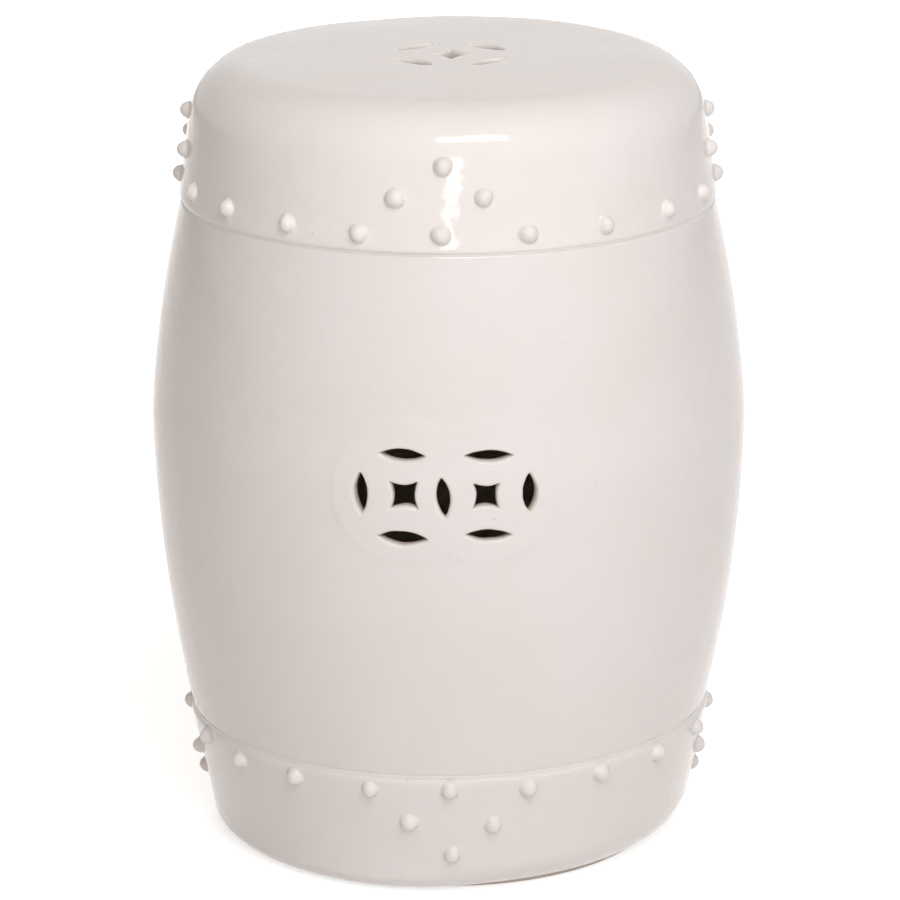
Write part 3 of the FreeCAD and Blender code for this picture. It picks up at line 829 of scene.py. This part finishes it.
def pressNails(name, node, places, surface, askew):
    lump = Lump()
    twos, threes = nail["unevenness"]
    for angle, height in places:
        seed = angle * 12.9 + height * 7.7
        grow = 1 + nail["sizeSlip"] * math.sin(seed)
        line = np.array(nail["outline"]) * grow
        turn = np.linspace(0, 2 * np.pi, nail["columns"], endpoint=False)
        rho, phi = np.meshgrid(line[:-1, 0], turn, indexing="ij")
        uneven = 1 + twos * np.sin(2 * phi + seed) + threes * np.sin(3 * phi + 2 * seed)
        side, rise = rho * uneven * np.cos(phi), rho * uneven * np.sin(phi)
        shift = np.linspace(0, 1, len(line))[:-1, None] ** 2
        tipSide = nail["tipSlip"][0] * math.sin(seed * 1.3)
        tipRise = nail["tipSlip"][1] * math.cos(seed * 1.9)
        side, rise = side + tipSide * shift, rise + tipRise * shift
        middle = surface(np.array([angle]), np.array([height]))[0]
        radius = math.hypot(middle[0], middle[1])

        def at(side, rise):
            return surface(angle + np.degrees(side / radius), height - askew(angle, height) + rise)

        none, step = np.array([0.0]), np.array([0.5])
        across = at(step, none)[0] - at(-step, none)[0]
        upward = at(none, step)[0] - at(none, -step)[0]
        outward = np.cross(across, upward)
        outward /= np.linalg.norm(outward)
        lift = np.repeat(line[:-1, 1], len(turn)).reshape(rho.shape)
        points = at(side, rise) + lift[:, :, None] * outward
        tip = at(np.array([tipSide]), np.array([tipRise]))[0] + line[-1, 1] * outward
        rows = len(line) - 1
        # painted shade with some pooled glaze, darkening the crease round the foot
        pooled = np.repeat(nail["pooled"] * np.exp(-((line[:-1, 1] - 0.1) / 0.30) ** 2), len(turn))
        start = lump.add(points, gridFaces(rows, len(turn)), False, 0.0, pooled)
        lump.add([tip], np.empty((0, 3), int))
        last = start + (rows - 1) * len(turn)
        lump.link([(last + j, last + (j + 1) % len(turn), lump.count - 1) for j in range(len(turn))])
    return lump.finish(name, (node,), "glaze", (glaze,), closed=False)


def makeNails(band, kind, surface, askew):
    row, spacing = [], 360 // nail["perRow"]
    for k in range(nail["perRow"]):
        angle = k * spacing if k * spacing <= 180 else k * spacing - 360
        slip = (0.7 * math.sin(k * 2.3), 0.6 * math.sin(k * 3.1 + 1))
        row.append(kind["row"].get(angle, (angle + slip[0], kind["rowHeight"] + slip[1])))
    pieces = [pressNails(band + "NailRow", band + "_nail_row", row, surface, askew)]
    for k, side in enumerate(("front", "right", "back", "left")):
        turn = k * 90
        pair, apex = kind["pairHeight"], kind["apexHeight"]
        places = [(turn - 9.4, pair + 0.4), (turn + 8.7, pair), (turn + 0.4, apex)]
        if side == "front":
            places = kind["pair"] + [kind["apex"]]
        label = band + "Nails" + side.capitalize()
        pieces.append(pressNails(label, f"{band}_nail_cluster_{side}", places, surface, askew))
    return pieces


makeBarrel()
seatPiece = makeSeat()
makeCollar()
makeRing()
upperPieces = makeNails("upper", upperNails, onSeatBand, lambda angle, height: 0.0)
makeNails("lower", lowerNails, onCollar, lambda angle, height: float(bandAskew(angle, height)))
for name in ("upper_luting_coil", "waist_luting_coil", "lower_luting_coil"):  # inside, bare clay
    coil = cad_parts[name]
    coil.data.materials.clear()
    coil.data.materials.append(clay)
print("stool: pieces made")


# Camera, lamps and floor.
photo = {
    "distance": 2395.1, "elevation": 16.80, "roll": 0.137, "aimHeight": 213.5, "sideStep": 0.685,
    "focal": 4283.6, "width": 900,  # both in the photograph's own dots
}


def placeCamera():
    lens = bpy.data.cameras.new("photoCamera")
    lens.sensor_width = 36.0
    lens.lens = photo["focal"] * lens.sensor_width / photo["width"]
    lens.clip_start, lens.clip_end = 0.1, 40
    camera = bpy.data.objects.new("photoCamera", lens)
    rise, roll = math.radians(photo["elevation"]), math.radians(photo["roll"])
    forward = Vector((0, math.cos(rise), -math.sin(rise)))
    right, down = Vector((1, 0, 0)), Vector((0, -math.sin(rise), -math.cos(rise)))
    pictureRight = right * math.cos(roll) + down * math.sin(roll)
    pictureDown = down * math.cos(roll) - right * math.sin(roll)
    turned = Matrix((pictureRight, -pictureDown, -forward)).transposed().to_4x4()
    aim = Vector((photo["sideStep"], 0, photo["aimHeight"])) * mm
    turned.translation = aim - forward * photo["distance"] * mm
    camera.matrix_world = turned
    bpy.context.scene.collection.objects.link(camera)
    bpy.context.scene.camera = camera


studio = {
    "fill": (1.0, 0.82, 0.70), "fillStrength": 0.10,
    "floor": (0.80, 0.795, 0.79), "floorGlow": 0.62, "whiteFrom": (0.35, 0.9),  # metres from the axis
    "floorHalf": 9.0, "floorLevel": -0.0002,  # just below the ring's foot, so their faces don't coincide
    "lampAim": 0.25,  # the height the lamps look at
}
# angle round the stool and elevation in degrees, distance and size in metres, power in watts;
# the first three show in the gloss, the others just lighten
lamps = {
    "shoulderBar": {"angle": 11.8, "elevation": 49, "distance": 2.3, "size": (1.02, 0.36), "power": 9.0,
                    "colour": (0.94, 0.95, 0.97), "inGloss": True},
    "frontWindow": {"angle": 2.6, "elevation": 12.0, "distance": 2.6, "size": (0.34, 0.38), "power": 2.8,
                    "colour": (1.0, 0.98, 0.96), "inGloss": True, "onlyOn": "seat"},
    "windowFoot": {"angle": 1.6, "elevation": 5.1, "distance": 2.6, "size": (0.22, 0.24), "power": 1.0,
                   "colour": (1.0, 0.98, 0.96), "inGloss": True, "onlyOn": "seat"},
    "frontFill": {"angle": 14, "elevation": 28, "distance": 3.4, "size": (3.0, 2.2), "power": 57.5,
                  "colour": (0.84, 0.935, 1.0), "inGloss": False},
    "rightFill": {"angle": 64, "elevation": 26, "distance": 3.2, "size": (2.0, 2.4), "power": 14.0,
                  "colour": (1.0, 0.86, 0.82), "inGloss": False},
    "topFill": {"angle": 30, "elevation": 78, "distance": 3.0, "size": (2.4, 2.4), "power": 18.0,
                "colour": (1.0, 0.90, 0.82), "inGloss": False},
    "leftFill": {"angle": -29, "elevation": 25, "distance": 3.2, "size": (1.8, 2.2), "power": 14.5,
                 "colour": (1.0, 0.82, 0.69), "inGloss": False},
    "backFill": {"angle": 180, "elevation": 12, "distance": 3.4, "size": (1.0, 1.4), "power": 52.0,
                 "colour": (1.0, 0.975, 0.95), "inGloss": False},
}


def hangLamp(name, setting):
    lamp = bpy.data.lights.new(name, "AREA")
    lamp.shape = "RECTANGLE"
    lamp.size, lamp.size_y = setting["size"]
    lamp.energy = setting["power"]
    lamp.color = setting["colour"]
    holder = bpy.data.objects.new(name, lamp)
    holder.visible_camera = False
    holder.visible_glossy = setting["inGloss"]
    if setting.get("onlyOn") == "seat":  # the barrel stands turned away from this narrow light
        holder.light_linking.receiver_collection = seatGroup
    rise = math.radians(setting["elevation"])
    spot = aroundAxis(setting["angle"], math.cos(rise), math.sin(rise)) * setting["distance"]
    aim = Vector((0, 0, studio["lampAim"]))
    holder.location = Vector(spot) + aim
    holder.rotation_mode = "QUATERNION"
    holder.rotation_quaternion = (aim - holder.location).to_track_quat("-Z", "Y")
    bpy.context.scene.collection.objects.link(holder)


def whiteForTheCamera(tree):
    # 1 for what the camera sees directly, in gloss or through glass, 0 for the light on the stool
    path = addNode(tree, "ShaderNodeLightPath")
    total = path.outputs["Is Camera Ray"]
    for name in ("Is Glossy Ray", "Is Transmission Ray"):
        larger = addNode(tree, "ShaderNodeMath", operation="MAXIMUM")
        tree.links.new(total, larger.inputs[0])
        tree.links.new(path.outputs[name], larger.inputs[1])
        total = larger.outputs[0]
    return total


def makeWorld():
    world = bpy.data.worlds.new("softStudio")
    bpy.context.scene.world = world
    world.use_nodes = True
    tree = world.node_tree
    fill = tree.nodes["Background"]
    fill.inputs["Color"].default_value = (*studio["fill"], 1)
    fill.inputs["Strength"].default_value = studio["fillStrength"]
    white = addNode(tree, "ShaderNodeBackground", Color=(1, 1, 1, 1), Strength=1.0)
    mix = addNode(tree, "ShaderNodeMixShader")
    tree.links.new(whiteForTheCamera(tree), mix.inputs[0])
    tree.links.new(fill.outputs[0], mix.inputs[1])
    tree.links.new(white.outputs[0], mix.inputs[2])
    tree.links.new(mix.outputs[0], tree.nodes["World Output"].inputs["Surface"])


def makeFloor():
    finish, tree, shader = makeFinish("paleFloor")
    shader.inputs["Base Color"].default_value = (*studio["floor"], 1)
    shader.inputs["Roughness"].default_value = 0.95
    shader.inputs["Specular IOR Level"].default_value = 0.0
    # a near white floor that holds the stool's shadow; further out the camera sees plain white,
    # which the gloss doesn't see
    where = addNode(tree, "ShaderNodeTexCoord")
    reach = addNode(tree, "ShaderNodeVectorMath", operation="LENGTH")
    tree.links.new(where.outputs["Object"], reach.inputs[0])
    path = addNode(tree, "ShaderNodeLightPath")
    further = spread(tree, reach.outputs["Value"], 0, 1 - studio["floorGlow"], *studio["whiteFrom"])
    beyond = addNode(tree, "ShaderNodeMath", operation="MULTIPLY")
    tree.links.new(path.outputs["Is Camera Ray"], beyond.inputs[0])
    tree.links.new(further, beyond.inputs[1])
    strength = addNode(tree, "ShaderNodeMath", operation="MULTIPLY_ADD")
    tree.links.new(whiteForTheCamera(tree), strength.inputs[0])
    strength.inputs[1].default_value = studio["floorGlow"]
    tree.links.new(beyond.outputs[0], strength.inputs[2])
    glow = addNode(tree, "ShaderNodeEmission", Color=(1, 1, 1, 1))
    tree.links.new(strength.outputs[0], glow.inputs["Strength"])
    both = addNode(tree, "ShaderNodeAddShader")
    tree.links.new(shader.outputs[0], both.inputs[0])
    tree.links.new(glow.outputs[0], both.inputs[1])
    tree.links.new(both.outputs[0], tree.nodes["Material Output"].inputs["Surface"])
    half, level = studio["floorHalf"], studio["floorLevel"]
    mesh = bpy.data.meshes.new("paleFloor")
    corners = [(-half, -half, level), (half, -half, level), (half, half, level), (-half, half, level)]
    mesh.from_pydata(corners, [], [(0, 1, 2, 3)])
    mesh.materials.append(finish)
    floor = bpy.data.objects.new("paleFloor", mesh)
    bpy.context.scene.collection.objects.link(floor)


placeCamera()
seatGroup = bpy.data.collections.new("seatGroup")
for piece in [seatPiece] + upperPieces:
    seatGroup.objects.link(piece)
for name, setting in lamps.items():
    hangLamp(name, setting)
makeWorld()
makeFloor()
bpy.context.scene.view_settings.view_transform = "Standard"
print("stool: camera, lamps and floor in place")
